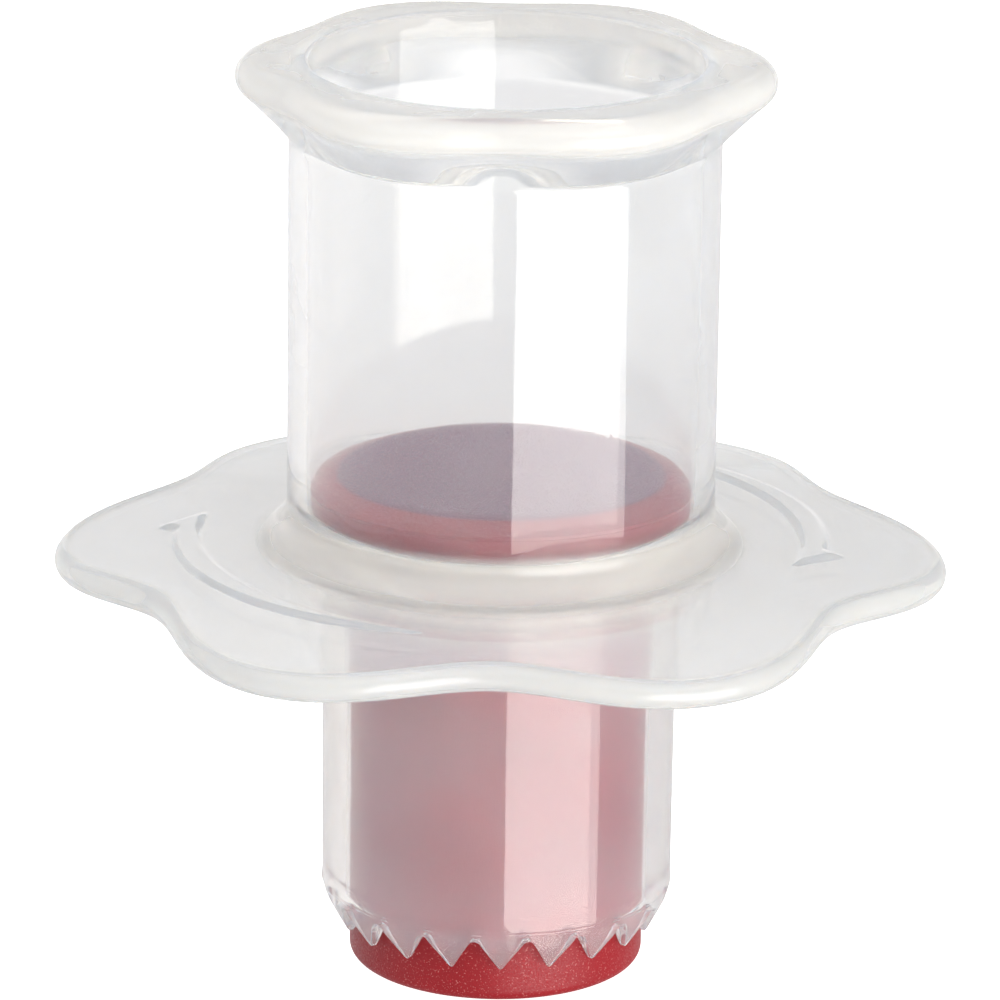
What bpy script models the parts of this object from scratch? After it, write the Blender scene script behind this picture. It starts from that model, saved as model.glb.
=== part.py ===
"""A cupcake corer: a clear body with a saw-toothed cutter tube, and a red ejector plunger.

The tool stands upright on the plunger's foot, at z = 0, and its axis is the Z axis.
All sizes are in metres.
"""

import math

import bmesh
import bpy
from mathutils import Matrix

MM = 0.001

# Fits
CLEARANCE = 0.3 * MM            # between the plunger and the bores, the ledge and its own cap

# Heights, from the plunger's foot upwards
FOOT_BELOW_TEETH = 3.2 * MM     # how far the plunger stands out under the tooth tips
CUTTER_LENGTH = 30.3 * MM       # tooth tips to the flange's underside
FLANGE_THICKNESS = 2.5 * MM
LEDGE_OVER_FLANGE = 1.0 * MM    # the plunger's ledge above the flange's upper face
BARREL_LENGTH = 39.8 * MM       # flange's upper face to the top of the rim

# Radii and walls of the clear body
CUTTER_BORE = 12.33 * MM
CUTTER_WALL = 2.1 * MM
LEDGE_WIDTH = 3.42 * MM         # step from the cutter's bore to the barrel's bore
BARREL_WALL = 1.6 * MM
CUTTER_DRAFT = 0.1 * MM         # how much the tube narrows from the flange to its edge

# Cutting edge
EDGE_ANGLE = math.radians(28)   # bevel to the tube's axis
EDGE_BLEND = 4.0 * MM           # radius from the tube into the bevel
EDGE_LAND = 0.5 * MM            # wall left at the tooth tips
TOOTH_COUNT = 20
NOTCH_DEPTH = 3.25 * MM         # to the notch's sharp corner, before its root is rounded
NOTCH_ROOT = 0.45 * MM          # radius of the notch's root
TOOTH_TIP_WIDTH = 0.2 * MM
FIRST_TOOTH = math.radians(-87.97)

# Petals
PETALS = 6
PETAL_TURN = math.radians(-1.1)
FLANGE_OVERHANG = 18.9 * MM     # petal tip beyond the barrel
FLANGE_PETAL_DEPTH = 4.7 * MM   # petal tip to the valley between two petals
FLANGE_FULLNESS = 0.17 * MM     # second harmonic, which keeps the petals round
FLANGE_DROOP = 0.78 * MM        # mean fall of the edge below the middle
FLANGE_WAVE = 0.39 * MM         # petal tips hang lower than the valleys by twice this
FLANGE_FLAT = 7.5 * MM          # flat ring round the cutter tube, from its wall outwards
RIM_OVERHANG = 4.3 * MM
RIM_LOBE_DEPTH = 1.7 * MM
RIM_FULLNESS = 0.042 * MM
RIM_EDGE = 1.58 * MM            # radius of the rim's outer edge
RIM_SLOPE = math.radians(42)    # underside of the rim to the horizontal

# Fillets of the clear body
BARREL_FILLET = 2.8 * MM        # barrel into the flange's upper face
TUBE_FILLET = 1.0 * MM          # flange's underside into the cutter tube
RIM_FILLET = 1.2 * MM           # barrel into the rim's underside
LEDGE_EDGE = 0.4 * MM           # ledge into the cutter's bore
LEDGE_LAND = 0.12 * MM          # flat of the ledge, between that edge and the bowl
MOUTH_EDGE = 0.4 * MM           # upper edge of the barrel's bore

# Plunger
DISC_RIM = 0.4 * MM             # straight edge of the stem's disc, over its rounded underside
CAP_THICKNESS = 1.1 * MM
CAP_RIM = 0.3 * MM              # straight edge of the cap, under its rounded shoulder
CAP_SHOULDER = 2.5 * MM         # width of that shoulder
STEM_WALL = 1.6 * MM
FOOT_THICKNESS = 2.0 * MM
FOOT_EDGE = 0.95 * MM
SPIGOT_LENGTH = 4.0 * MM
SPIGOT_WALL = 1.4 * MM

# Smoothness
TURN_STEPS = 96                 # a multiple of the petals, so that every petal is alike
SMALL_ARC_STEPS = 2             # in a fillet under 1 mm, and in the cap's shallow shoulder
ARC_STEPS = 3
WIDE_ARC_STEPS = 4
BEAD_STEPS = 6
FLANGE_TOP_RINGS = 3            # between its flat middle and its rounded edge
FLANGE_UNDER_RINGS = 2
MERGE = 0.01 * MM
SHARP_ANGLE = math.radians(35)  # edges over this are shaded sharp

# Colours
CLEAR = (0.90, 0.90, 0.88)
RED = (0.42, 0.03, 0.05)

# The ledge's bowl, and the disc's underside that seats in it
BOWL_RADIUS = LEDGE_WIDTH - LEDGE_EDGE - LEDGE_LAND
DISC_ROUND = BOWL_RADIUS - CLEARANCE

# Heights that follow
TEETH_Z = FOOT_BELOW_TEETH
FLANGE_UNDER_Z = TEETH_Z + CUTTER_LENGTH
FLANGE_TOP_Z = FLANGE_UNDER_Z + FLANGE_THICKNESS
LEDGE_Z = FLANGE_TOP_Z + LEDGE_OVER_FLANGE
RIM_Z = FLANGE_TOP_Z + BARREL_LENGTH
DISC_UNDER_Z = LEDGE_Z + CLEARANCE
DISC_TOP_Z = DISC_UNDER_Z + DISC_ROUND + DISC_RIM
CAP_UNDER_Z = DISC_TOP_Z + CLEARANCE
CAP_TOP_Z = CAP_UNDER_Z + CAP_THICKNESS

# Radii that follow
CUTTER_RADIUS = CUTTER_BORE + CUTTER_WALL
BARREL_BORE = CUTTER_BORE + LEDGE_WIDTH
BARREL_RADIUS = BARREL_BORE + BARREL_WALL
EDGE_RADIUS = CUTTER_BORE + EDGE_LAND
FLANGE_REACH = BARREL_RADIUS + FLANGE_OVERHANG
FLANGE_EDGE = FLANGE_THICKNESS / 2
RIM_REACH = BARREL_RADIUS + RIM_OVERHANG
STEM_RADIUS = CUTTER_BORE - CLEARANCE
STEM_BORE = STEM_RADIUS - STEM_WALL
DISC_RADIUS = BARREL_BORE - CLEARANCE
SPIGOT_RADIUS = STEM_BORE - CLEARANCE


def clear_scene():
    for old in list(bpy.data.objects):
        bpy.data.objects.remove(old, do_unlink=True)


def new_collection(name):
    collection = bpy.data.collections.new(name)
    bpy.context.scene.collection.children.link(collection)
    return collection


def plastic(name, colour, roughness, alpha=1.0, transmission=0.0):
    material = bpy.data.materials.new(name)
    material.use_nodes = True
    shader = material.node_tree.nodes["Principled BSDF"]
    shader.inputs["Base Color"].default_value = (*colour, 1.0)
    shader.inputs["Roughness"].default_value = roughness
    shader.inputs["Metallic"].default_value = 0.0
    shader.inputs["Alpha"].default_value = alpha
    shader.inputs["Transmission Weight"].default_value = transmission
    material.diffuse_color = (*colour, alpha)
    return material


def arc(centre, radius, start, end, steps=ARC_STEPS):
    """Points (r, z) round a centre, from one angle to another, in degrees."""
    points = []
    for step in range(steps + 1):
        angle = math.radians(start + (end - start) * step / steps)
        points.append((centre[0] + radius * math.cos(angle), centre[1] + radius * math.sin(angle)))
    return points


def turned(name, profile, collection, closed=False):
    """A profile of (r, z) points, down its outer side, turned about the Z axis."""
    mesh = bpy.data.meshes.new(name)
    edges = [(i, i + 1) for i in range(len(profile) - 1)]
    if closed:
        edges.append((len(profile) - 1, 0))
    mesh.from_pydata([(r, 0.0, z) for r, z in profile], edges, [])
    piece = bpy.data.objects.new(name, mesh)
    collection.objects.link(piece)
    screw = piece.modifiers.new("turn", "SCREW")
    screw.axis = "Z"
    screw.steps = TURN_STEPS
    screw.render_steps = TURN_STEPS
    screw.use_merge_vertices = True
    screw.merge_threshold = MERGE
    return piece


def made_real(piece):
    """Replace an object's modifiers by the mesh that they make."""
    bpy.context.view_layer.update()
    evaluated = piece.evaluated_get(bpy.context.evaluated_depsgraph_get())
    mesh = bpy.data.meshes.new_from_object(evaluated)
    piece.modifiers.clear()
    piece.data = mesh
    return piece


def finish(piece, material):
    piece.data.materials.clear()
    piece.data.materials.append(material)
    piece.data.shade_smooth()
    piece.data.set_sharp_from_angle(angle=SHARP_ANGLE)
    return piece


def spaced(start, end, count):
    """The points between two profile points, without the two themselves."""
    inner = []
    for step in range(1, count + 1):
        share = step / (count + 1)
        inner.append((start[0] + (end[0] - start[0]) * share, start[1] + (end[1] - start[1]) * share))
    return inner


def rim_profile():
    """From the mouth of the bore over the rim to the barrel's outer wall."""
    bead = (RIM_REACH - RIM_EDGE, RIM_Z - RIM_EDGE)
    slope = math.degrees(RIM_SLOPE)
    points = arc((BARREL_BORE + MOUTH_EDGE, RIM_Z - MOUTH_EDGE), MOUTH_EDGE, 180, 90, SMALL_ARC_STEPS)
    points += spaced(points[-1], (bead[0], RIM_Z), 1)
    points += arc(bead, RIM_EDGE, 90, slope - 90, BEAD_STEPS)
    under = points[-1]
    fillet_r = BARREL_RADIUS + RIM_FILLET
    tangent_r = fillet_r - RIM_FILLET * math.sin(RIM_SLOPE)
    tangent_z = under[1] - (under[0] - tangent_r) * math.tan(RIM_SLOPE)
    fillet_z = tangent_z - RIM_FILLET * math.cos(RIM_SLOPE)
    points += arc((fillet_r, fillet_z), RIM_FILLET, 90 + slope, 180)
    return points


def flange_profile():
    """From the barrel's outer wall round the flange to the cutter tube."""
    top_corner = (BARREL_RADIUS + BARREL_FILLET, FLANGE_TOP_Z + BARREL_FILLET)
    under_corner = (CUTTER_RADIUS + TUBE_FILLET, FLANGE_UNDER_Z - TUBE_FILLET)
    edge = (FLANGE_REACH - FLANGE_EDGE, FLANGE_TOP_Z - FLANGE_EDGE)
    flat_end = CUTTER_RADIUS + FLANGE_FLAT
    points = arc(top_corner, BARREL_FILLET, 180, 270, WIDE_ARC_STEPS)
    points.append((flat_end, FLANGE_TOP_Z))
    points += spaced(points[-1], (edge[0], FLANGE_TOP_Z), FLANGE_TOP_RINGS)
    points += arc(edge, FLANGE_EDGE, 90, -90, BEAD_STEPS)
    points += spaced(points[-1], (flat_end, FLANGE_UNDER_Z), FLANGE_UNDER_RINGS)
    points.append((flat_end, FLANGE_UNDER_Z))
    points += arc(under_corner, TUBE_FILLET, 90, 180)
    return points


def cutter_profile():
    """From the tube's straight wall down the bevel to the tooth tips."""
    wall = CUTTER_RADIUS - CUTTER_DRAFT
    tangent = EDGE_BLEND * math.tan(EDGE_ANGLE / 2)
    corner_z = TEETH_Z + (wall - EDGE_RADIUS) / math.tan(EDGE_ANGLE)
    centre = (wall - EDGE_BLEND, corner_z + tangent)
    points = arc(centre, EDGE_BLEND, 0, -math.degrees(EDGE_ANGLE))
    points.append((EDGE_RADIUS, TEETH_Z))
    return points


def bore_profile():
    """From the tooth tips up the cutter's bore, over the ledge and up the barrel's bore."""
    ledge_edge = (CUTTER_BORE + LEDGE_EDGE, LEDGE_Z - LEDGE_EDGE)
    bowl = (BARREL_BORE - BOWL_RADIUS, LEDGE_Z + BOWL_RADIUS)
    points = [(CUTTER_BORE, TEETH_Z)]
    points += arc(ledge_edge, LEDGE_EDGE, 180, 90, SMALL_ARC_STEPS)
    points += arc(bowl, BOWL_RADIUS, 270, 360, WIDE_ARC_STEPS)
    return points


def outline(reach, depth, fullness, turn):
    """Distance from the axis to a petalled edge, at an angle from a petal's tip."""
    valley = depth / 2 * (1 - math.cos(PETALS * turn))
    fuller = fullness * (1 - math.cos(2 * PETALS * turn))
    return reach - valley + fuller


def share_along(value, start, end):
    return min(max((value - start) / (end - start), 0.0), 1.0)


def shape_petals(body):
    """Draw the round flange and rim in to their petals, and let the flange's edge droop."""
    body.data.transform(Matrix.Rotation(PETAL_TURN, 4, "Z"))
    flat_end = CUTTER_RADIUS + FLANGE_FLAT
    flange_centre = FLANGE_REACH - FLANGE_EDGE
    rim_centre = RIM_REACH - RIM_EDGE
    middle_z = (FLANGE_TOP_Z + RIM_Z) / 2
    for vertex in body.data.vertices:
        x, y, z = vertex.co
        radius = math.hypot(x, y)
        turn = math.atan2(y, x) - PETAL_TURN
        if z > middle_z:
            share = share_along(radius, BARREL_RADIUS, rim_centre)
            edge = outline(RIM_REACH, RIM_LOBE_DEPTH, RIM_FULLNESS, turn)
            moved = radius + (edge - RIM_REACH) * share
        else:
            share = share_along(radius, flat_end, flange_centre)
            edge = outline(FLANGE_REACH, FLANGE_PETAL_DEPTH, FLANGE_FULLNESS, turn)
            moved = radius + (edge - FLANGE_REACH) * share
            z -= (FLANGE_DROOP + FLANGE_WAVE * math.cos(PETALS * turn)) * share ** 2
        vertex.co = (x * moved / radius, y * moved / radius, z)


def notch_outline():
    """Half-width and height of one notch between two teeth, drawn at the tips' radius."""
    half_pitch = math.pi * EDGE_RADIUS / TOOTH_COUNT
    half_width = half_pitch - TOOTH_TIP_WIDTH / 2
    side = math.atan2(half_width, NOTCH_DEPTH)
    root_z = TEETH_Z + NOTCH_DEPTH - NOTCH_ROOT / math.sin(side)
    below = TEETH_Z - CUTTER_WALL
    points = [(-half_width, TEETH_Z), (-half_width, below), (half_width, below), (half_width, TEETH_Z)]
    points += arc((0.0, root_z), NOTCH_ROOT, math.degrees(side), 180 - math.degrees(side))
    return points


def add_notch(cutter_mesh, direction):
    """One wedge that widens outwards with the radius, so that each tooth keeps its angle."""
    shape = notch_outline()
    rings = []
    for radius in (CUTTER_BORE - CUTTER_WALL, CUTTER_RADIUS + CUTTER_WALL):
        widen = radius / EDGE_RADIUS
        ring = [cutter_mesh.verts.new((radius, s * widen, z)) for s, z in shape]
        rings.append(ring)
    faces = [cutter_mesh.faces.new(rings[0]), cutter_mesh.faces.new(list(reversed(rings[1])))]
    count = len(shape)
    for i in range(count):
        j = (i + 1) % count
        faces.append(cutter_mesh.faces.new((rings[0][j], rings[0][i], rings[1][i], rings[1][j])))
    turn = Matrix.Rotation(direction, 4, "Z")
    bmesh.ops.transform(cutter_mesh, matrix=turn, verts=rings[0] + rings[1])
    bmesh.ops.recalc_face_normals(cutter_mesh, faces=faces)


def tooth_notches(collection):
    """All the notches as one cutter."""
    cutter_mesh = bmesh.new()
    for index in range(TOOTH_COUNT):
        add_notch(cutter_mesh, FIRST_TOOTH + (index + 0.5) * math.tau / TOOTH_COUNT)
    mesh = bpy.data.meshes.new("tooth_notches")
    cutter_mesh.to_mesh(mesh)
    cutter_mesh.free()
    cutter = bpy.data.objects.new("tooth_notches", mesh)
    cutter.hide_render = True
    cutter.display_type = "WIRE"
    collection.objects.link(cutter)
    return cutter


def make_body(collection, cutters):
    """The clear moulding: rim, barrel, flange and toothed cutter tube."""
    profile = rim_profile() + flange_profile() + cutter_profile() + bore_profile()
    body = made_real(turned("corer_body", profile, collection, closed=True))
    shape_petals(body)
    finish(body, plastic("clear_plastic", CLEAR, 0.12, alpha=0.35, transmission=0.9))
    cut = body.modifiers.new("teeth", "BOOLEAN")
    cut.operation = "DIFFERENCE"
    cut.solver = "EXACT"
    cut.object = tooth_notches(cutters)
    return body


def stem_profile():
    """The stem's bore, its disc, its outer wall and its foot, from axis to axis."""
    points = [(0.0, FOOT_THICKNESS), (STEM_BORE, FOOT_THICKNESS), (STEM_BORE, DISC_TOP_Z)]
    points.append((DISC_RADIUS, DISC_TOP_Z))
    points += arc((DISC_RADIUS - DISC_ROUND, DISC_UNDER_Z + DISC_ROUND), DISC_ROUND, 0, -90, WIDE_ARC_STEPS)
    points.append((STEM_RADIUS, DISC_UNDER_Z))
    points += arc((STEM_RADIUS - FOOT_EDGE, FOOT_EDGE), FOOT_EDGE, 0, -90)
    points.append((0.0, 0.0))
    return points


def cap_profile():
    """The press plate and the ring under it that seats in the stem's bore."""
    spigot_z = CAP_UNDER_Z - SPIGOT_LENGTH
    drop = CAP_THICKNESS - CAP_RIM
    bend = 2 * math.atan(drop / CAP_SHOULDER)
    radius = CAP_SHOULDER / math.sin(bend)
    centre = (DISC_RADIUS - CAP_SHOULDER, CAP_TOP_Z - radius)
    points = [(0.0, CAP_TOP_Z)]
    points += arc(centre, radius, 90, 90 - math.degrees(bend), SMALL_ARC_STEPS)
    points += [(DISC_RADIUS, CAP_UNDER_Z), (SPIGOT_RADIUS, CAP_UNDER_Z), (SPIGOT_RADIUS, spigot_z)]
    points += [(SPIGOT_RADIUS - SPIGOT_WALL, spigot_z), (SPIGOT_RADIUS - SPIGOT_WALL, CAP_UNDER_Z)]
    points.append((0.0, CAP_UNDER_Z))
    return points


def make_plunger(collection):
    """The red stem and its cap, carried by an empty on the axis that they slide along."""
    axis = bpy.data.objects.new("plunger_axis", None)
    collection.objects.link(axis)
    stem = made_real(turned("plunger_stem", stem_profile(), collection))
    finish(stem, plastic("stem_red", RED, 0.55))
    cap = made_real(turned("plunger_cap", cap_profile(), collection))
    finish(cap, plastic("cap_red", RED, 0.5))
    for piece in (stem, cap):
        piece.parent = axis


def main():
    clear_scene()
    parts = new_collection("cupcake_corer")
    cutters = new_collection("cutters")
    make_body(parts, cutters)
    make_plunger(parts)


main()
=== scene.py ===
"""Looks of a cupcake corer: the clear toothed body, the red ejector plunger and a pale studio.

Everything is in metres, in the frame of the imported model: the tool stands upright on z = 0.
"""

import math

import bpy
import numpy as np
from mathutils import Euler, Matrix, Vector


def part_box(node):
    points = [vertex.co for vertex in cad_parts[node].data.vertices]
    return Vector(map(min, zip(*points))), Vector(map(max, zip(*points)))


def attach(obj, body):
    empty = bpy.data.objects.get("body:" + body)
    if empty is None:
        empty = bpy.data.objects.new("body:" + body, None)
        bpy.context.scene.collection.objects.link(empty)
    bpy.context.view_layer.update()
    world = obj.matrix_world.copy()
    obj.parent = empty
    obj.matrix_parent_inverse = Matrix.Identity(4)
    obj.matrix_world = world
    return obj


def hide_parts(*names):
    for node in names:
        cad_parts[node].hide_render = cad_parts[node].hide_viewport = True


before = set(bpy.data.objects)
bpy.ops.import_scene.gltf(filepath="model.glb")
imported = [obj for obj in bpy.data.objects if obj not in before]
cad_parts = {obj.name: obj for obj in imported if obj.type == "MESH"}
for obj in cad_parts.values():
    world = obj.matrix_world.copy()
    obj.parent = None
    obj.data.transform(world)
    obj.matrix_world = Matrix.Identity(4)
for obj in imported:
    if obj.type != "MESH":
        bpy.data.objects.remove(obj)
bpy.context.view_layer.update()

MM = 0.001
CLEARANCE = 0.3 * MM            # between the plunger and the body, all round

# Heights, from the frame and from the moulding's own sizes
TEETH_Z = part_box("corer_body")[0].z
RIM_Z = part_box("corer_body")[1].z
CAP_TOP_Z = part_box("plunger_cap")[1].z
FLANGE_TOP_Z = TEETH_Z + 32.8 * MM
FLANGE_THICKNESS = 2.5 * MM
FLANGE_UNDER_Z = FLANGE_TOP_Z - FLANGE_THICKNESS
LEDGE_Z = FLANGE_TOP_Z + 1.0 * MM
DISC_UNDER_Z = LEDGE_Z + CLEARANCE

# Radii and walls
DISC_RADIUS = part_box("plunger_cap")[1].x
BARREL_BORE = DISC_RADIUS + CLEARANCE
BARREL_WALL = 1.6 * MM
BARREL_RADIUS = BARREL_BORE + BARREL_WALL
SKIN = 0.2 * MM                 # how far off a face a point may lie and still count as on it
LEDGE_WIDTH = 3.42 * MM
CUTTER_BORE = BARREL_BORE - LEDGE_WIDTH
CUTTER_WALL = 2.1 * MM
CUTTER_RADIUS = CUTTER_BORE + CUTTER_WALL
CUTTER_DRAFT = 0.1 * MM
STEM_RADIUS = CUTTER_BORE - CLEARANCE
STEM_WALL = 1.6 * MM

# Petals
PETALS = 6
PETAL_TURN = math.radians(-1.1)
FLANGE_REACH = BARREL_RADIUS + 18.88 * MM
FLANGE_PETAL_DEPTH = 4.7 * MM
FLANGE_FULLNESS = 0.17 * MM
FLANGE_DROOP = 0.78 * MM
FLANGE_WAVE = 0.39 * MM
FLANGE_FLAT = CUTTER_RADIUS + 7.5 * MM
FLANGE_EDGE = FLANGE_THICKNESS / 2
RIM_REACH = BARREL_RADIUS + 4.3 * MM
RIM_LOBE_DEPTH = 1.7 * MM
RIM_FULLNESS = 0.042 * MM
RIM_EDGE = 1.58 * MM
RIM_SLOPE = 42.0                # degrees from the horizontal, under the rim

# Fillets of the body
BARREL_FILLET = 2.8 * MM
FOOT_ROWS = 4.4 * MM            # height above the flange to which the wall's points lie close
TUBE_FILLET = 1.0 * MM
RIM_FILLET = 1.2 * MM
LEDGE_EDGE = 0.4 * MM
LEDGE_LAND = 0.12 * MM
BOWL_RADIUS = LEDGE_WIDTH - LEDGE_EDGE - LEDGE_LAND
MOUTH_EDGE = 0.4 * MM

# Cutting edge
TOOTH_COUNT = 20
FIRST_TOOTH = math.radians(-87.97)
EDGE_LAND = 0.5 * MM
EDGE_RADIUS = CUTTER_BORE + EDGE_LAND
EDGE_ANGLE = math.radians(28)
EDGE_BLEND = 4.0 * MM
NOTCH_DEPTH = 3.25 * MM
NOTCH_ROOT = 0.45 * MM
TOOTH_TIP_WIDTH = 0.26 * MM
EDGE_SOFT = 0.10 * MM           # round along the cut edge
SCRIBE_RISES = (3.66 * MM, 3.40 * MM)
SCRIBE_HEIGHT = 0.05 * MM       # two hair-fine rings where the bevel starts
SCRIBE_HALF_WIDTH = 0.09 * MM

# Twist arrows, raised on the flange
ARROW_HEIGHT = 0.24 * MM
ARROW_WALL = 0.8 * MM           # width of its soft flank
ARROW_HEADS = (169.2, -15.6)    # azimuths of the two tips, in degrees
ARROW_SWEEP = 86.0              # degrees from tip to tail
ARROW_LEAD = 20.0               # degrees by which its crescent would run on past the tip
ARROW_SWELL = 0.8               # below 1 makes the crescent fuller
ARROW_NECK = 9.5
ARROW_BARB = 7.5
ARROW_RADIUS = 25.45 * MM
ARROW_HALF_WIDTH = 1.1 * MM
ARROW_BARB_RADIUS = 27.6 * MM
ARROW_TIP_RADIUS = 24.7 * MM
ARROW_ZONE = (22.0 * MM, 30.0 * MM)    # radii between which the arrows lie
TOP_DROOP = 0.9 * MM            # how far the upper face may droop and still carry an arrow

# Mould parting line on the barrel
PARTING_AZIMUTH = math.radians(-61.0)
PARTING_HEIGHT = 0.03 * MM
PARTING_HALF_WIDTH = math.radians(0.4)
PARTING_REACH = 0.05 * MM       # how far off the barrel's wall a point may lie

# Plunger
SEAM_GAP = 0.01 * MM
SEAM_EDGE = 0.03 * MM
CAP_THICKNESS = 1.1 * MM
CAP_RIM = 0.3 * MM              # height of the lid's edge under its sloping shoulder
CAP_SHOULDER = 2.5 * MM
SHOULDER_STEPS = 12
SHOULDER_CROWN = 0.35 * MM
SHOULDER_EDGE = 0.1 * MM
DISC_ROUND = BOWL_RADIUS - CLEARANCE
NECK_CHAMFER = 0.4 * MM         # where the disc meets the stem
FOOT_EDGE = 0.95 * MM
FOOT_THICKNESS = 2.0 * MM
SPIGOT_LENGTH = 4.0 * MM
SPIGOT_WALL = 1.4 * MM
PAINTED_LID_SHADE_DEPTHS = (0.12 * MM, 0.03 * MM)    # below the lid's top, where the painted shade and sheen of its flat top set in
PLUNGER_COLUMNS = 240
PLUNGER_SHARP = 40.0            # degrees from which an edge is shaded sharp
BODY_SHARP = 38.0

# Clear plastic; its haze, per metre, scatters blue more than red
PLASTIC_IOR = 1.49
HAZE_DENSITY = 100.0
HAZE_FORWARD = 0.3
HAZE_COLOUR = (0.69, 0.81, 1.0)
ABSORPTION = (5.0, 5.6, 6.6)    # per metre
POLISH = (0.02, 0.06)           # lowest and highest roughness where it is clear
POLISH_SCALE = 240.0            # of a noise, per metre, like the other scales
RIPPLE_SCALE = 55.0
RIPPLE_STRENGTH = 0.10
RIPPLE_HEIGHT = 0.6 * MM

# Milkiness of its skin by place, where 0 is clear and 1 is opaque
RIM_MILK = 0.38
RIM_BORE_MILK = 0.03
WALL_MILK = 0.022
TUBE_MILK = 0.055
PLATE_MILK = 0.12
FLANGE_EDGE_MILK = 0.30
FOOT_MILK = 0.22
FILLET_MILK = 0.20
LEDGE_MILK = 0.08
TEETH_MILK = 0.09
CLOUD_SCALE = 90.0
CLOUD_MILK = 0.02               # how far a cloudiness moves it up and down

# How far the milk reaches, and the width over which it fades at the end
MILKY_BORE = (1.4 * MM, 1.2 * MM)       # outwards from the bore
MILKY_RIM = (3.9 * MM, 1.6 * MM)        # down from the mouth
MILKY_EDGE = (2.6 * MM, 2.4 * MM)       # inwards from the flange's edge
MILKY_FOOT = (2.3 * MM, 1.6 * MM)       # outwards from the barrel's wall
MILKY_FILLET = (4.0 * MM, 2.0 * MM)     # outwards from the barrel's wall, more weakly
FOOT_RISE = (4.2 * MM, 2.0 * MM)        # up from the flange, outside the barrel
LEDGE_RISE = (3.6 * MM, 2.0 * MM)       # up from the flange, inside the barrel
FOOT_DROP = (2.0 * MM, 1.5 * MM)        # down from the flange's underside
MILKY_TEETH = (0.7 * MM, 0.4 * MM)      # up from the bevel's corner
NEAR_FLANGE = 5.0 * MM                  # above and below the flange's middle

# Colour of the clear plastic at three steps of milk
MILK_COLOURS = (
    (0.08, (0.985, 0.99, 0.99)),
    (0.30, (0.87, 0.858, 0.82)),
    (0.42, (0.81, 0.785, 0.745)),
)
MILK_ROUGHNESS = 0.25

# Red plastic
RED = (0.23, 0.003, 0.007)
# The lid's flat top, painted darker and bluer than the red: painted shade for the little light that
# falls on it from above, and painted sheen of the bright back
LID_PAINTED_SHADE_AND_SHEEN = (0.12, 0.016, 0.046)
# Light specks painted into the red as glints
PAINTED_GLINT_COLOUR = (0.62, 0.24, 0.22)
STEM_ROUGHNESS = 0.5
CAP_ROUGHNESS = 0.30
ROUGHNESS_SPREAD = (-0.2, 0.1)
STEM_SPECULAR = 0.3
CAP_SPECULAR = 0.5
TONE_SCALE = 120.0
TONE_DARKER = 0.9
TONE_LIGHTER = 1.08
PAINTED_GLINT_SCALE = 6500.0
PAINTED_GLINT_RANGE = (0.62, 0.72)       # noise values between which the painted glint specks set in
PAINTED_GLINT_SHARE = 0.35
GRAIN_SCALE = 7500.0
GRAIN_STRENGTH = 0.5
GRAIN_HEIGHT = 0.03 * MM
PIT_SCALE = 2600.0
PIT_STRENGTH = 0.15
PIT_HEIGHT = 0.05 * MM

# Studio: height of a direction (1 is straight up), and its light from the front and from the back,
# with more light from the left
SKY = (
    (-1.0, (0.45, 0.45, 0.46), (0.45, 0.45, 0.45)),
    (-0.35, (0.90, 0.92, 0.94), (0.77, 0.76, 0.77)),
    (0.0, (0.35, 0.36, 0.37), (0.95, 0.95, 0.96)),
    (0.3, (0.41, 0.42, 0.42), (0.56, 0.57, 0.59)),
    (0.7, (1.88, 1.87, 1.88), (0.75, 0.75, 0.75)),
    (1.0, (1.43, 1.42, 1.42), (1.43, 1.42, 1.42)),
)
BACK_BLEND = 0.3                # Y of a direction, from which it counts wholly as front or back
LEFT_GLOW = (0.36, 0.36, 0.37)
GLOW_RANGE = (-1.0, 0.1)        # X of a direction, from the full glow to none
BLACK = (0.0, 0.0, 0.0, 1.0)
WHITE = (1.0, 1.0, 1.0, 1.0)

# Softbox, low at the right in front of the tool; its colour is its brightness against a white of 1
SOFTBOX_TARGET = Vector((0.0, 0.0, 0.04))
SOFTBOX_AZIMUTH = math.radians(-52.5)
SOFTBOX_ELEVATION = math.radians(-15.0)
SOFTBOX_DISTANCE = 0.7
SOFTBOX_WIDTH = 0.80
SOFTBOX_HEIGHT = 0.62
SOFTBOX_COLOUR = (4.51, 4.51, 4.45)

# Floor, seen by the camera alone
FLOOR_REACH = 3.0
FLOOR_COLOUR = (0.8, 0.8, 0.8, 1.0)
FLOOR_ROUGHNESS = 0.9
FLOOR_SPECULAR = 0.1

# Camera, which stands in front of the tool on the -Y side
CAMERA_PLACE = Vector((-0.000075, -0.560, 0.217284))
CAMERA_TILT = math.radians(72.336)
CAMERA_ROLL = math.radians(0.74)
CAMERA_LENS = 261.11
CAMERA_SENSOR = 36.0
CAMERA_NEAR = 0.01
CAMERA_FAR = 20.0


def arc(centre, radius, start, end, steps):
    """Points (r, z) round a centre, from one angle to another, in degrees."""
    points = []
    for step in range(steps + 1):
        angle = math.radians(start + (end - start) * step / steps)
        points.append((centre[0] + radius * math.cos(angle), centre[1] + radius * math.sin(angle)))
    return points


def spaced(start, end, count):
    """The points between two profile points, without the two themselves."""
    inner = []
    for step in range(1, count + 1):
        share = step / (count + 1)
        radius = start[0] + (end[0] - start[0]) * share
        inner.append((radius, start[1] + (end[1] - start[1]) * share))
    return inner


def smooth(value):
    value = np.clip(value, 0.0, 1.0)
    return value * value * (3.0 - 2.0 * value)


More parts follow.
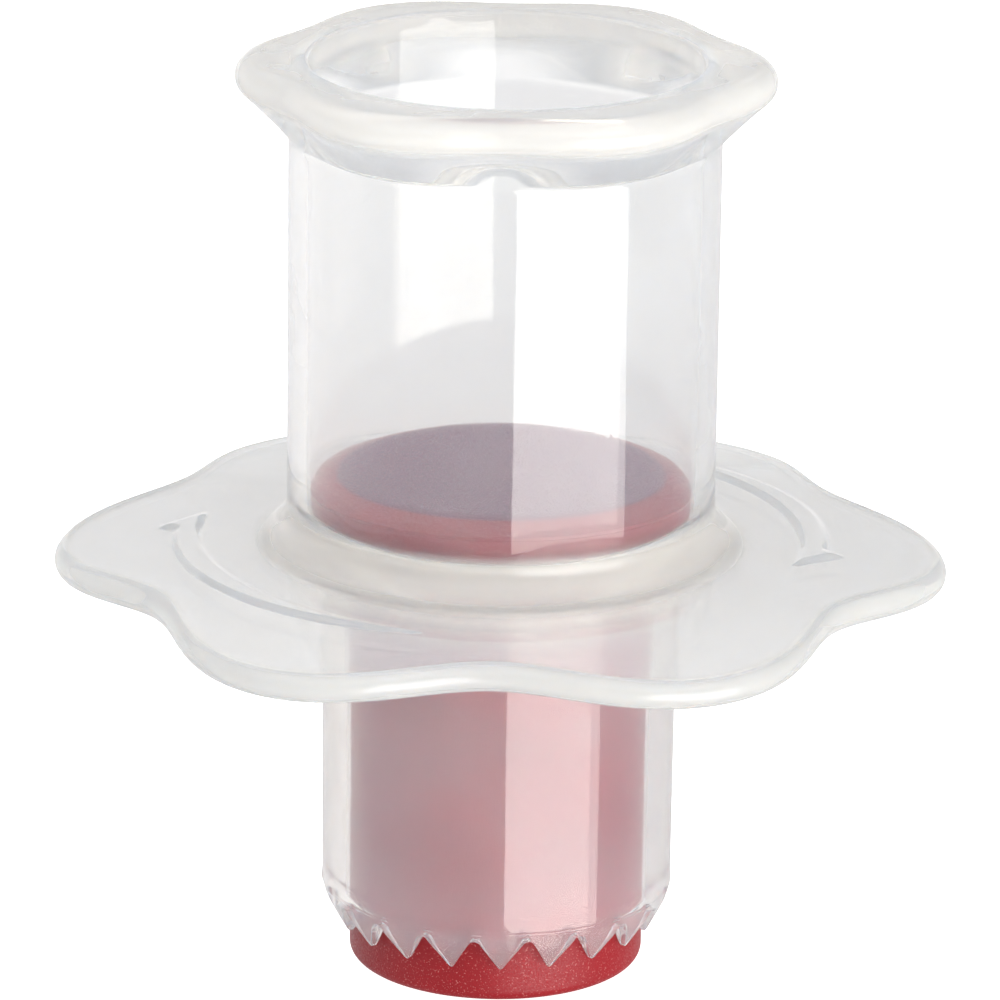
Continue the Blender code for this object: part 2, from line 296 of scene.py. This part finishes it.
def rim_profile():
    """From the mouth of the bore over the rim to the barrel's outer wall."""
    bead = (RIM_REACH - RIM_EDGE, RIM_Z - RIM_EDGE)
    points = arc((BARREL_BORE + MOUTH_EDGE, RIM_Z - MOUTH_EDGE), MOUTH_EDGE, 180, 90, 8)
    points += spaced(points[-1], (bead[0], RIM_Z), 8)
    points += arc(bead, RIM_EDGE, 90, RIM_SLOPE - 90, 20)
    under = points[-1]
    slope = math.radians(RIM_SLOPE)
    fillet_r = BARREL_RADIUS + RIM_FILLET
    tangent_r = fillet_r - RIM_FILLET * math.sin(slope)
    tangent_z = under[1] - (under[0] - tangent_r) * math.tan(slope)
    fillet_z = tangent_z - RIM_FILLET * math.cos(slope)
    points += spaced(under, (tangent_r, tangent_z), 3)
    points += arc((fillet_r, fillet_z), RIM_FILLET, 90 + RIM_SLOPE, 180, 8)
    return points


def flange_profile():
    """From the barrel's outer wall round the flange to the cutter tube."""
    top_corner = (BARREL_RADIUS + BARREL_FILLET, FLANGE_TOP_Z + BARREL_FILLET)
    under_corner = (CUTTER_RADIUS + TUBE_FILLET, FLANGE_UNDER_Z - TUBE_FILLET)
    edge = (FLANGE_REACH - FLANGE_EDGE, FLANGE_TOP_Z - FLANGE_EDGE)
    wall_foot = (BARREL_RADIUS, FLANGE_TOP_Z + FOOT_ROWS)
    fillet = arc(top_corner, BARREL_FILLET, 180, 270, 12)
    points = [wall_foot] + spaced(wall_foot, fillet[0], 4) + fillet
    points += spaced(points[-1], (FLANGE_FLAT, FLANGE_TOP_Z), 6)
    points.append((FLANGE_FLAT, FLANGE_TOP_Z))
    points += spaced(points[-1], (edge[0], FLANGE_TOP_Z), 60)
    points += arc(edge, FLANGE_EDGE, 90, -90, 20)
    points += spaced(points[-1], (FLANGE_FLAT, FLANGE_UNDER_Z), 16)
    points.append((FLANGE_FLAT, FLANGE_UNDER_Z))
    points += spaced(points[-1], (under_corner[0], FLANGE_UNDER_Z), 5)
    points += arc(under_corner, TUBE_FILLET, 90, 180, 8)
    return points


def bore_profile():
    """From the cutter's bore over the ledge and up the barrel's bore."""
    ledge_edge = (CUTTER_BORE + LEDGE_EDGE, LEDGE_Z - LEDGE_EDGE)
    bowl = (BARREL_BORE - BOWL_RADIUS, LEDGE_Z + BOWL_RADIUS)
    points = arc(ledge_edge, LEDGE_EDGE, 180, 90, 6)
    points += arc(bowl, BOWL_RADIUS, 270, 360, 18)
    return points


WALL_RADIUS = CUTTER_RADIUS - CUTTER_DRAFT
BEVEL_CORNER_Z = TEETH_Z + (WALL_RADIUS - EDGE_RADIUS) / math.tan(EDGE_ANGLE)
BLEND_Z = BEVEL_CORNER_Z + EDGE_BLEND * math.tan(EDGE_ANGLE / 2)
BLEND_END_Z = BLEND_Z - EDGE_BLEND * math.sin(EDGE_ANGLE)
TOOTHED_TOP_Z = BLEND_Z + 0.5 * MM


def bevel_radius(z):
    """Radius of the cutter's outer face at a height near its edge."""
    if z >= BLEND_Z:
        return WALL_RADIUS
    if z >= BLEND_END_Z:
        return WALL_RADIUS - EDGE_BLEND + math.sqrt(EDGE_BLEND ** 2 - (BLEND_Z - z) ** 2)
    return EDGE_RADIUS + (z - TEETH_Z) * math.tan(EDGE_ANGLE)


def tooth_pitch():
    """Turn from a tooth's tip and height above the tips, along the cut edge to the next tip."""
    half_pitch = math.pi * EDGE_RADIUS / TOOTH_COUNT
    half_width = half_pitch - TOOTH_TIP_WIDTH / 2
    side = math.atan2(half_width, NOTCH_DEPTH)
    lean = math.degrees(side)
    tip_r = TOOTH_TIP_WIDTH / 2 * math.cos(side) / (1 - math.sin(side))
    tip = arc((0.0, tip_r), tip_r, -90, -lean, 2)
    root_z = NOTCH_DEPTH - NOTCH_ROOT / math.sin(side)
    root = arc((half_pitch, root_z), NOTCH_ROOT, 180 - lean, lean, 6)
    half = tip + spaced(tip[-1], root[0], 6) + root[:4]
    mirrored = [(2 * half_pitch - s, z) for s, z in reversed(half[1:-1])]
    return [(s / EDGE_RADIUS, z) for s, z in half + mirrored]


def cut_edge():
    """Azimuth and height of the cut edge, once round the tool."""
    pitch = tooth_pitch()
    points = []
    for index in range(TOOTH_COUNT):
        start = FIRST_TOOTH + index * math.tau / TOOTH_COUNT
        points += [(start + turn, TEETH_Z + rise) for turn, rise in pitch]
    return points


def toothed_rows(z_edge):
    """The profile near the cut edge: down the bevel, across the land and up the bore."""
    count = 16
    low = z_edge + EDGE_SOFT
    outer = []
    for rise in SCRIBE_RISES:
        middle = TEETH_Z + rise
        ridge = ((SCRIBE_HALF_WIDTH, 0.0), (0.0, SCRIBE_HEIGHT), (-SCRIBE_HALF_WIDTH, 0.0))
        for off, height in ridge:
            outer.append((bevel_radius(middle + off) + height, middle + off))
    start = outer[-1][1]
    for step in range(1, count + 1):
        z = start + (low - start) * step / count
        outer.append((bevel_radius(z), z))
    outer_land = (bevel_radius(low) - EDGE_SOFT, z_edge)
    inner_land = (CUTTER_BORE + EDGE_SOFT, z_edge)
    land = [outer_land] + spaced(outer_land, inner_land, 2) + [inner_land]
    inner = []
    for step in range(count):
        inner.append((CUTTER_BORE, low + (TOOTHED_TOP_Z - low) * step / count))
    return outer + land + inner


def outline(reach, depth, fullness, turn):
    """Distance from the axis to a petalled edge, at an angle from a petal's tip."""
    valley = depth / 2 * (1 - np.cos(PETALS * turn))
    fuller = fullness * (1 - np.cos(2 * PETALS * turn))
    return reach - valley + fuller


def shape_petals(points):
    """Draw the round flange and rim in to their petals, and let the flange's edge droop."""
    x, y, z = points.T
    radius = np.hypot(x, y)
    turn = np.arctan2(y, x) - PETAL_TURN
    upper = z > (FLANGE_TOP_Z + RIM_Z) / 2
    rim_share = np.clip((radius - BARREL_RADIUS) / (RIM_REACH - RIM_EDGE - BARREL_RADIUS), 0, 1)
    rim_edge = outline(RIM_REACH, RIM_LOBE_DEPTH, RIM_FULLNESS, turn) - RIM_REACH
    flange_share = np.clip((radius - FLANGE_FLAT) / (FLANGE_REACH - FLANGE_EDGE - FLANGE_FLAT), 0, 1)
    flange_edge = outline(FLANGE_REACH, FLANGE_PETAL_DEPTH, FLANGE_FULLNESS, turn) - FLANGE_REACH
    moved = radius + np.where(upper, rim_edge * rim_share, flange_edge * flange_share)
    droop = (FLANGE_DROOP + FLANGE_WAVE * np.cos(PETALS * turn)) * flange_share ** 2
    return np.stack([x * moved / radius, y * moved / radius, z - np.where(upper, 0.0, droop)], 1)


def arrow_outline(head):
    """A crescent arrow as a closed polygon, from its tip round to its tail and back."""
    steps = 24
    outer = []
    inner = []
    for step in range(steps + 1):
        along = ARROW_NECK + (ARROW_SWEEP - ARROW_NECK) * step / steps
        share = (along + ARROW_LEAD) / (ARROW_SWEEP + ARROW_LEAD)
        half = ARROW_HALF_WIDTH * max(math.sin(math.pi * share), 0.0) ** ARROW_SWELL
        outer.append((along, ARROW_RADIUS + half))
        inner.append((along, ARROW_RADIUS - half))
    barb = (ARROW_BARB, ARROW_BARB_RADIUS)
    tip = (0.0, ARROW_TIP_RADIUS)
    polar = [tip, barb] + outer + list(reversed(inner))
    polygon = []
    for along, radius in polar:
        azimuth = math.radians(head + along)
        polygon.append((radius * math.cos(azimuth), radius * math.sin(azimuth)))
    return np.array(polygon)


def depth_inside(points, polygon):
    """Distance of points to a polygon's outline, positive inside and negative outside."""
    start = polygon
    end = np.roll(polygon, -1, axis=0)
    along = end - start
    away = points[:, None, :] - start[None, :, :]
    share = np.clip((away * along).sum(2) / (along ** 2).sum(1), 0.0, 1.0)
    distance = np.linalg.norm(away - share[..., None] * along, axis=2).min(axis=1)
    x, y = points[:, 0:1], points[:, 1:2]
    crosses = (start[:, 1] > y) != (end[:, 1] > y)
    rise = np.where(along[:, 1] == 0, 1e-12, along[:, 1])
    left = x < along[:, 0] * (y - start[:, 1]) / rise + start[:, 0]
    inside = (crosses & left).sum(axis=1) % 2 == 1
    return np.where(inside, distance, -distance)


def raise_arrows(points):
    """Lift the flange's upper face to the two raised twist arrows."""
    radius = np.hypot(points[:, 0], points[:, 1])
    near_top = np.abs(points[:, 2] - FLANGE_TOP_Z) < TOP_DROOP
    top = near_top & (radius > ARROW_ZONE[0]) & (radius < ARROW_ZONE[1])
    chosen = np.nonzero(top)[0]
    for head in ARROW_HEADS:
        inside = depth_inside(points[chosen, :2], arrow_outline(head))
        lift = ARROW_HEIGHT * smooth((inside + ARROW_WALL / 2) / ARROW_WALL)
        points[chosen, 2] += lift
    return points


def raise_parting_line(points):
    """A hair-fine ridge down both sides of the barrel."""
    x, y, z = points.T
    radius = np.hypot(x, y)
    azimuth = np.arctan2(y, x)
    off = np.abs((azimuth - PARTING_AZIMUTH + math.pi / 2) % math.pi - math.pi / 2)
    on_line = (off < PARTING_HALF_WIDTH) & (np.abs(radius - BARREL_RADIUS) < PARTING_REACH)
    scale = np.where(on_line, 1 + PARTING_HEIGHT / radius, 1.0)
    return np.stack([x * scale, y * scale, z], 1)


def body_mesh():
    """One closed skin: columns round the axis, rows along the wall's section."""
    edge = cut_edge()
    upper = rim_profile() + flange_profile()
    wall_top = upper[-1]
    upper += spaced(wall_top, (WALL_RADIUS, TOOTHED_TOP_Z), 6) + [(WALL_RADIUS, TOOTHED_TOP_Z)]
    bore_start = (CUTTER_BORE, TOOTHED_TOP_Z)
    bore = bore_profile()
    inner = [bore_start] + spaced(bore_start, bore[0], 6) + bore
    inner += spaced(bore[-1], (BARREL_BORE, RIM_Z - MOUTH_EDGE), 10)
    vertices = []
    for azimuth, z_edge in edge:
        section = upper + toothed_rows(z_edge) + inner
        for radius, z in section:
            vertices.append((radius * math.cos(azimuth), radius * math.sin(azimuth), z))
    points = np.array(vertices)
    points = raise_parting_line(raise_arrows(shape_petals(points)))
    rows = len(section)
    columns = len(edge)
    faces = []
    for column in range(columns):
        beside = (column + 1) % columns
        for row in range(rows):
            below = (row + 1) % rows
            a = column * rows
            b = beside * rows
            faces.append((a + row, a + below, b + below, b + row))
    return points, faces


def new_piece(name, points, faces, material, sharp):
    mesh = bpy.data.meshes.new(name)
    mesh.from_pydata([tuple(p) for p in points], [], faces)
    mesh.validate()
    mesh.shade_smooth()
    mesh.set_sharp_from_angle(angle=math.radians(sharp))
    mesh.materials.append(material)
    piece = bpy.data.objects.new(name, mesh)
    bpy.context.scene.collection.objects.link(piece)
    return piece


def fading(value, reach, width):
    """1 well below a reach and 0 above it, fading over a width."""
    return smooth((reach - value) / width)


def milkiness(points):
    """How milky the skin looks: most at the thick rim and round the barrel's foot."""
    x, y, z = points.T
    radius = np.hypot(x, y)
    turn = np.arctan2(y, x) - PETAL_TURN
    edge = outline(FLANGE_REACH, FLANGE_PETAL_DEPTH, FLANGE_FULLNESS, turn)
    inner = radius < BARREL_BORE + BARREL_WALL / 2
    low = np.abs(z - FLANGE_TOP_Z + FLANGE_EDGE) < NEAR_FLANGE
    wall = np.where(z > FLANGE_TOP_Z, WALL_MILK, TUBE_MILK)
    plate = np.where(low & (radius > BARREL_RADIUS - SKIN), PLATE_MILK, wall)
    bore = fading(radius - BARREL_BORE, *MILKY_BORE)
    rim = RIM_MILK + (RIM_BORE_MILK - RIM_MILK) * bore
    rim = rim * fading(RIM_Z - z, *MILKY_RIM)
    flange = np.where(low, FLANGE_EDGE_MILK * fading(edge - radius, *MILKY_EDGE), 0.0)
    foot = FOOT_MILK * fading(radius - BARREL_RADIUS, *MILKY_FOOT)
    foot += FILLET_MILK * fading(radius - BARREL_RADIUS, *MILKY_FILLET)
    foot += np.where(inner, LEDGE_MILK, 0.0)
    height = z - FLANGE_TOP_Z
    foot *= np.where(inner, fading(height, *LEDGE_RISE), fading(height, *FOOT_RISE))
    foot *= fading(FLANGE_UNDER_Z - z, *FOOT_DROP)
    teeth = TEETH_MILK * fading(z - BEVEL_CORNER_Z, *MILKY_TEETH)
    return np.max([rim, plate, flange, foot, teeth], axis=0)


def turned(name, profile, material, sharp):
    """A closed (r, z) profile that starts and ends on the axis, turned about it."""
    ring_points = profile[1:-1]
    rows = len(ring_points)
    vertices = []
    for column in range(PLUNGER_COLUMNS):
        azimuth = math.tau * column / PLUNGER_COLUMNS
        for radius, z in ring_points:
            vertices.append((radius * math.cos(azimuth), radius * math.sin(azimuth), z))
    first = len(vertices)
    vertices.append((0.0, 0.0, profile[0][1]))
    vertices.append((0.0, 0.0, profile[-1][1]))
    faces = []
    for column in range(PLUNGER_COLUMNS):
        a = column * rows
        b = (column + 1) % PLUNGER_COLUMNS * rows
        faces.append((first, a, b))
        for row in range(rows - 1):
            faces.append((a + row, a + row + 1, b + row + 1, b + row))
        faces.append((a + rows - 1, first + 1, b + rows - 1))
    return new_piece(name, vertices, faces, material, sharp)


def stem_profile():
    """The stem's bore, its disc, its outer wall and its foot, from axis to axis."""
    bore = STEM_RADIUS - STEM_WALL
    seam_z = CAP_TOP_Z - CAP_THICKNESS - SEAM_GAP
    points = [(0.0, FOOT_THICKNESS), (bore, FOOT_THICKNESS), (bore, seam_z)]
    points += arc((DISC_RADIUS - SEAM_EDGE, seam_z - SEAM_EDGE), SEAM_EDGE, 90, 0, 4)
    lower = (DISC_RADIUS - DISC_ROUND, DISC_UNDER_Z + DISC_ROUND)
    points += arc(lower, DISC_ROUND, 0, -90, 16)
    points += [(STEM_RADIUS + NECK_CHAMFER, DISC_UNDER_Z), (STEM_RADIUS, DISC_UNDER_Z - NECK_CHAMFER)]
    points += spaced(points[-1], (STEM_RADIUS, FOOT_EDGE), 12)
    points += arc((STEM_RADIUS - FOOT_EDGE, FOOT_EDGE), FOOT_EDGE, 0, -90, 12)
    points += spaced(points[-1], (0.0, 0.0), 6)
    points.append((0.0, 0.0))
    return points


def cap_profile():
    """The press plate and the ring under it that seats in the stem's bore."""
    under_z = CAP_TOP_Z - CAP_THICKNESS
    spigot = STEM_RADIUS - STEM_WALL - CLEARANCE
    spigot_z = under_z - SPIGOT_LENGTH
    flat = (DISC_RADIUS - CAP_SHOULDER, CAP_TOP_Z)
    points = [(0.0, CAP_TOP_Z)]
    points += spaced((0.0, CAP_TOP_Z), flat, 8)
    for step in range(SHOULDER_STEPS + 1):
        share = step / SHOULDER_STEPS
        crown = share * (1 - share) * SHOULDER_CROWN
        drop = (CAP_THICKNESS - CAP_RIM) * share
        points.append((flat[0] + CAP_SHOULDER * share, CAP_TOP_Z - drop + crown))
    shoulder_edge = (DISC_RADIUS - SHOULDER_EDGE, under_z + CAP_RIM - SHOULDER_EDGE)
    points += arc(shoulder_edge, SHOULDER_EDGE, 60, 0, 4)
    points += arc((DISC_RADIUS - SEAM_EDGE, under_z + SEAM_EDGE), SEAM_EDGE, 0, -90, 4)
    points += [(spigot, under_z), (spigot, spigot_z)]
    points += [(spigot - SPIGOT_WALL, spigot_z), (spigot - SPIGOT_WALL, under_z), (0.0, under_z)]
    return points


def new_material(name):
    material = bpy.data.materials.new(name)
    material.use_nodes = True
    tree = material.node_tree
    shader = tree.nodes["Principled BSDF"]
    return material, tree, shader


def noise(tree, place, scale, detail, name):
    node = tree.nodes.new("ShaderNodeTexNoise")
    node.name = name
    node.inputs["Scale"].default_value = scale
    node.inputs["Detail"].default_value = detail
    tree.links.new(place, node.inputs["Vector"])
    return node.outputs["Fac"]


def ranged(tree, value, low, high, to_low, to_high):
    """A value mapped from one range to another."""
    node = tree.nodes.new("ShaderNodeMapRange")
    node.inputs["From Min"].default_value = low
    node.inputs["From Max"].default_value = high
    node.inputs["To Min"].default_value = to_low
    node.inputs["To Max"].default_value = to_high
    tree.links.new(value, node.inputs["Value"])
    return node.outputs["Result"]


def combined(tree, operation, first, second):
    node = tree.nodes.new("ShaderNodeMath")
    node.operation = operation
    for socket, value in zip(node.inputs, (first, second)):
        if isinstance(value, (int, float)):
            socket.default_value = value
        else:
            tree.links.new(value, socket)
    return node.outputs["Value"]


def bump(tree, height, strength, distance, normal=None):
    node = tree.nodes.new("ShaderNodeBump")
    node.inputs["Strength"].default_value = strength
    node.inputs["Distance"].default_value = distance
    tree.links.new(height, node.inputs["Height"])
    if normal is not None:
        tree.links.new(normal, node.inputs["Normal"])
    return node.outputs["Normal"]


def fill_ramp(node, stops):
    """Give a colour ramp its stops, each a position and a colour."""
    elements = node.color_ramp.elements
    elements.remove(elements[1])
    for number, (position, colour) in enumerate(stops):
        element = elements[0] if number == 0 else elements.new(position)
        element.position = position
        element.color = (*colour, 1.0)


def clear_plastic():
    """Clear moulded plastic with a slight haze, milkier where it is thick."""
    material, tree, shader = new_material("clear_plastic_haze")
    place = tree.nodes.new("ShaderNodeTexCoord").outputs["Object"]
    shader.inputs["IOR"].default_value = PLASTIC_IOR
    milk = tree.nodes.new("ShaderNodeAttribute")
    milk.attribute_name = "milk"
    cloud = noise(tree, place, CLOUD_SCALE, 3.0, "cloudiness")
    drift = ranged(tree, cloud, 0.3, 0.7, -CLOUD_MILK, CLOUD_MILK)
    varied = combined(tree, "ADD", milk.outputs["Fac"], drift)
    clear = ranged(tree, varied, 0.0, 1.0, 1.0, 0.0)
    tree.links.new(clear, shader.inputs["Transmission Weight"])
    tint = tree.nodes.new("ShaderNodeValToRGB")
    fill_ramp(tint, MILK_COLOURS)
    tree.links.new(varied, tint.inputs["Fac"])
    tree.links.new(tint.outputs["Color"], shader.inputs["Base Color"])
    polish = noise(tree, place, POLISH_SCALE, 4.0, "polish")
    worn = ranged(tree, polish, 0.3, 0.7, *POLISH)
    dull = combined(tree, "MULTIPLY", milk.outputs["Fac"], MILK_ROUGHNESS)
    tree.links.new(combined(tree, "ADD", worn, dull), shader.inputs["Roughness"])
    ripple = noise(tree, place, RIPPLE_SCALE, 2.0, "ripple")
    normal = bump(tree, ripple, RIPPLE_STRENGTH, RIPPLE_HEIGHT)
    tree.links.new(normal, shader.inputs["Normal"])
    haze = tree.nodes.new("ShaderNodeVolumeScatter")
    haze.inputs["Density"].default_value = HAZE_DENSITY
    haze.inputs["Anisotropy"].default_value = HAZE_FORWARD
    haze.inputs["Color"].default_value = (*HAZE_COLOUR, 1.0)
    dimming = tree.nodes.new("ShaderNodeVolumeAbsorption")
    strongest = max(ABSORPTION) * 1.01
    kept = [1.0 - value / strongest for value in ABSORPTION]
    dimming.inputs["Density"].default_value = strongest
    dimming.inputs["Color"].default_value = (*kept, 1.0)
    inside = tree.nodes.new("ShaderNodeAddShader")
    tree.links.new(haze.outputs["Volume"], inside.inputs[0])
    tree.links.new(dimming.outputs["Volume"], inside.inputs[1])
    tree.links.new(inside.outputs["Shader"], tree.nodes["Material Output"].inputs["Volume"])
    return material


def red_plastic(name, colour, roughness, specular, painted_top_shade=None):
    """Matt red plastic with a fine grained texture, light specks painted into its colour as glints,
    and, with a top colour, painted shade and sheen on the lid's flat top.
    """
    material, tree, shader = new_material(name)
    place = tree.nodes.new("ShaderNodeTexCoord").outputs["Object"]
    shader.inputs["IOR"].default_value = PLASTIC_IOR
    shader.inputs["Specular IOR Level"].default_value = specular
    tone = noise(tree, place, TONE_SCALE, 3.0, "tone")
    ramp = tree.nodes.new("ShaderNodeValToRGB")
    darker = [value * TONE_DARKER for value in colour]
    lighter = [value * TONE_LIGHTER for value in colour]
    fill_ramp(ramp, ((0.35, darker), (0.65, lighter)))
    tree.links.new(tone, ramp.inputs["Fac"])
    # Light specks painted into the red as glints
    painted_glints = noise(tree, place, PAINTED_GLINT_SCALE, 1.0, "painted_glints")
    painted_glints = ranged(tree, painted_glints, *PAINTED_GLINT_RANGE, 0.0, PAINTED_GLINT_SHARE)
    colours = mixed_colours(tree, painted_glints, ramp.outputs["Color"], (*PAINTED_GLINT_COLOUR, 1.0))
    # The lid's flat top painted darker and bluer: painted shade and sheen
    if painted_top_shade is not None:
        split = tree.nodes.new("ShaderNodeSeparateXYZ")
        tree.links.new(place, split.inputs["Vector"])
        low, high = (CAP_TOP_Z - depth for depth in PAINTED_LID_SHADE_DEPTHS)
        share = ranged(tree, split.outputs["Z"], low, high, 0.0, 1.0)
        colours = mixed_colours(tree, share, colours, (*painted_top_shade, 1.0))
    tree.links.new(colours, shader.inputs["Base Color"])
    grain = noise(tree, place, GRAIN_SCALE, 2.0, "grain")
    low, high = (roughness + spread for spread in ROUGHNESS_SPREAD)
    rough = ranged(tree, grain, 0.35, 0.65, low, high)
    tree.links.new(rough, shader.inputs["Roughness"])
    fine = bump(tree, grain, GRAIN_STRENGTH, GRAIN_HEIGHT)
    pit = noise(tree, place, PIT_SCALE, 1.0, "pits")
    normal = bump(tree, pit, PIT_STRENGTH, PIT_HEIGHT, fine)
    tree.links.new(normal, shader.inputs["Normal"])
    return material


def make_body():
    points, faces = body_mesh()
    body = new_piece("body_clear", points, faces, clear_plastic(), BODY_SHARP)
    attribute = body.data.attributes.new("milk", "FLOAT", "POINT")
    attribute.data.foreach_set("value", milkiness(points).astype(np.float32))
    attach(body, "corer")
    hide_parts("corer_body")


def make_plunger():
    stem_skin = red_plastic("red_stem", RED, STEM_ROUGHNESS, STEM_SPECULAR)
    stem = turned("stem_red", stem_profile(), stem_skin, PLUNGER_SHARP)
    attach(stem, "plunger")
    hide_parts("plunger_stem")
    cap_skin = red_plastic("red_cap", RED, CAP_ROUGHNESS, CAP_SPECULAR, LID_PAINTED_SHADE_AND_SHEEN)
    cap = turned("cap_red", cap_profile(), cap_skin, PLUNGER_SHARP)
    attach(cap, "plunger")
    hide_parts("plunger_cap")


def make_floor():
    signs = ((-1, -1), (1, -1), (1, 1), (-1, 1))
    corners = [(FLOOR_REACH * x, FLOOR_REACH * y, 0.0) for x, y in signs]
    material, _, shader = new_material("pale_floor")
    shader.inputs["Base Color"].default_value = FLOOR_COLOUR
    shader.inputs["Roughness"].default_value = FLOOR_ROUGHNESS
    shader.inputs["Specular IOR Level"].default_value = FLOOR_SPECULAR
    shader.inputs["Emission Color"].default_value = WHITE
    shader.inputs["Emission Strength"].default_value = 1.0
    floor = new_piece("floor", corners, [(0, 1, 2, 3)], material, 30)
    floor.visible_diffuse = False
    floor.visible_glossy = False
    floor.visible_transmission = False
    floor.visible_volume_scatter = False
    floor.visible_shadow = False


def sky_ramp(tree, height, side):
    """Brightness of the studio by height, on one side of the tool."""
    ramp = tree.nodes.new("ShaderNodeValToRGB")
    fill_ramp(ramp, [((place + 1) / 2, sides[side]) for place, *sides in SKY])
    tree.links.new(height, ramp.inputs["Fac"])
    return ramp.outputs["Color"]


def mixed_colours(tree, share, first, second):
    mix = tree.nodes.new("ShaderNodeMix")
    mix.data_type = "RGBA"
    tree.links.new(share, mix.inputs["Factor"])
    for socket, colour in ((mix.inputs["A"], first), (mix.inputs["B"], second)):
        if isinstance(colour, tuple):
            socket.default_value = colour
        else:
            tree.links.new(colour, socket)
    return mix.outputs["Result"]


def make_world():
    """A studio that is white to the camera and has steps of brightness for everything else."""
    world = bpy.data.worlds.new("studio")
    bpy.context.scene.world = world
    world.use_nodes = True
    tree = world.node_tree
    direction = tree.nodes.new("ShaderNodeTexCoord").outputs["Generated"]
    split = tree.nodes.new("ShaderNodeSeparateXYZ")
    tree.links.new(direction, split.inputs["Vector"])
    height = ranged(tree, split.outputs["Z"], -1.0, 1.0, 0.0, 1.0)
    backness = ranged(tree, split.outputs["Y"], -BACK_BLEND, BACK_BLEND, 0.0, 1.0)
    studio = mixed_colours(tree, backness, sky_ramp(tree, height, 0), sky_ramp(tree, height, 1))
    leftness = ranged(tree, split.outputs["X"], *GLOW_RANGE, 1.0, 0.0)
    glow = mixed_colours(tree, leftness, BLACK, (*LEFT_GLOW, 1.0))
    total = tree.nodes.new("ShaderNodeVectorMath")
    tree.links.new(studio, total.inputs[0])
    tree.links.new(glow, total.inputs[1])
    seen = tree.nodes.new("ShaderNodeLightPath").outputs["Is Camera Ray"]
    shown = mixed_colours(tree, seen, total.outputs["Vector"], WHITE)
    tree.links.new(shown, tree.nodes["Background"].inputs["Color"])


def make_softbox():
    """A rectangular light that faces the tool."""
    level = math.cos(SOFTBOX_ELEVATION)
    away = Vector((
        math.cos(SOFTBOX_AZIMUTH) * level,
        math.sin(SOFTBOX_AZIMUTH) * level,
        math.sin(SOFTBOX_ELEVATION),
    ))
    light = bpy.data.lights.new("softbox", "AREA")
    light.shape = "RECTANGLE"
    light.size = SOFTBOX_WIDTH
    light.size_y = SOFTBOX_HEIGHT
    light.energy = math.pi * SOFTBOX_WIDTH * SOFTBOX_HEIGHT
    light.color = SOFTBOX_COLOUR
    lamp = bpy.data.objects.new("softbox", light)
    lamp.location = SOFTBOX_TARGET + away * SOFTBOX_DISTANCE
    lamp.rotation_mode = "QUATERNION"
    lamp.rotation_quaternion = away.to_track_quat("Z", "Y")
    lamp.visible_camera = False
    bpy.context.scene.collection.objects.link(lamp)


def make_camera():
    camera = bpy.data.objects.new("camera", bpy.data.cameras.new("camera"))
    bpy.context.scene.collection.objects.link(camera)
    camera.location = CAMERA_PLACE
    camera.rotation_mode = "QUATERNION"
    tilt = Euler((CAMERA_TILT, 0.0, 0.0)).to_quaternion()
    roll = Euler((0.0, 0.0, CAMERA_ROLL)).to_quaternion()
    camera.rotation_quaternion = tilt @ roll
    camera.data.sensor_width = CAMERA_SENSOR
    camera.data.lens = CAMERA_LENS
    camera.data.clip_start = CAMERA_NEAR
    camera.data.clip_end = CAMERA_FAR
    bpy.context.scene.camera = camera


def set_light_paths():
    """Enough bounces for two clear walls; blurred reflections would dim what lies behind them."""
    scene = bpy.context.scene
    scene.view_settings.view_transform = "Standard"
    scene.cycles.max_bounces = 24
    scene.cycles.transmission_bounces = 24
    scene.cycles.glossy_bounces = 12
    scene.cycles.diffuse_bounces = 6
    scene.cycles.volume_bounces = 16
    scene.cycles.blur_glossy = 0.0


make_body()
make_plunger()
make_floor()
make_world()
make_softbox()
make_camera()
set_light_paths()
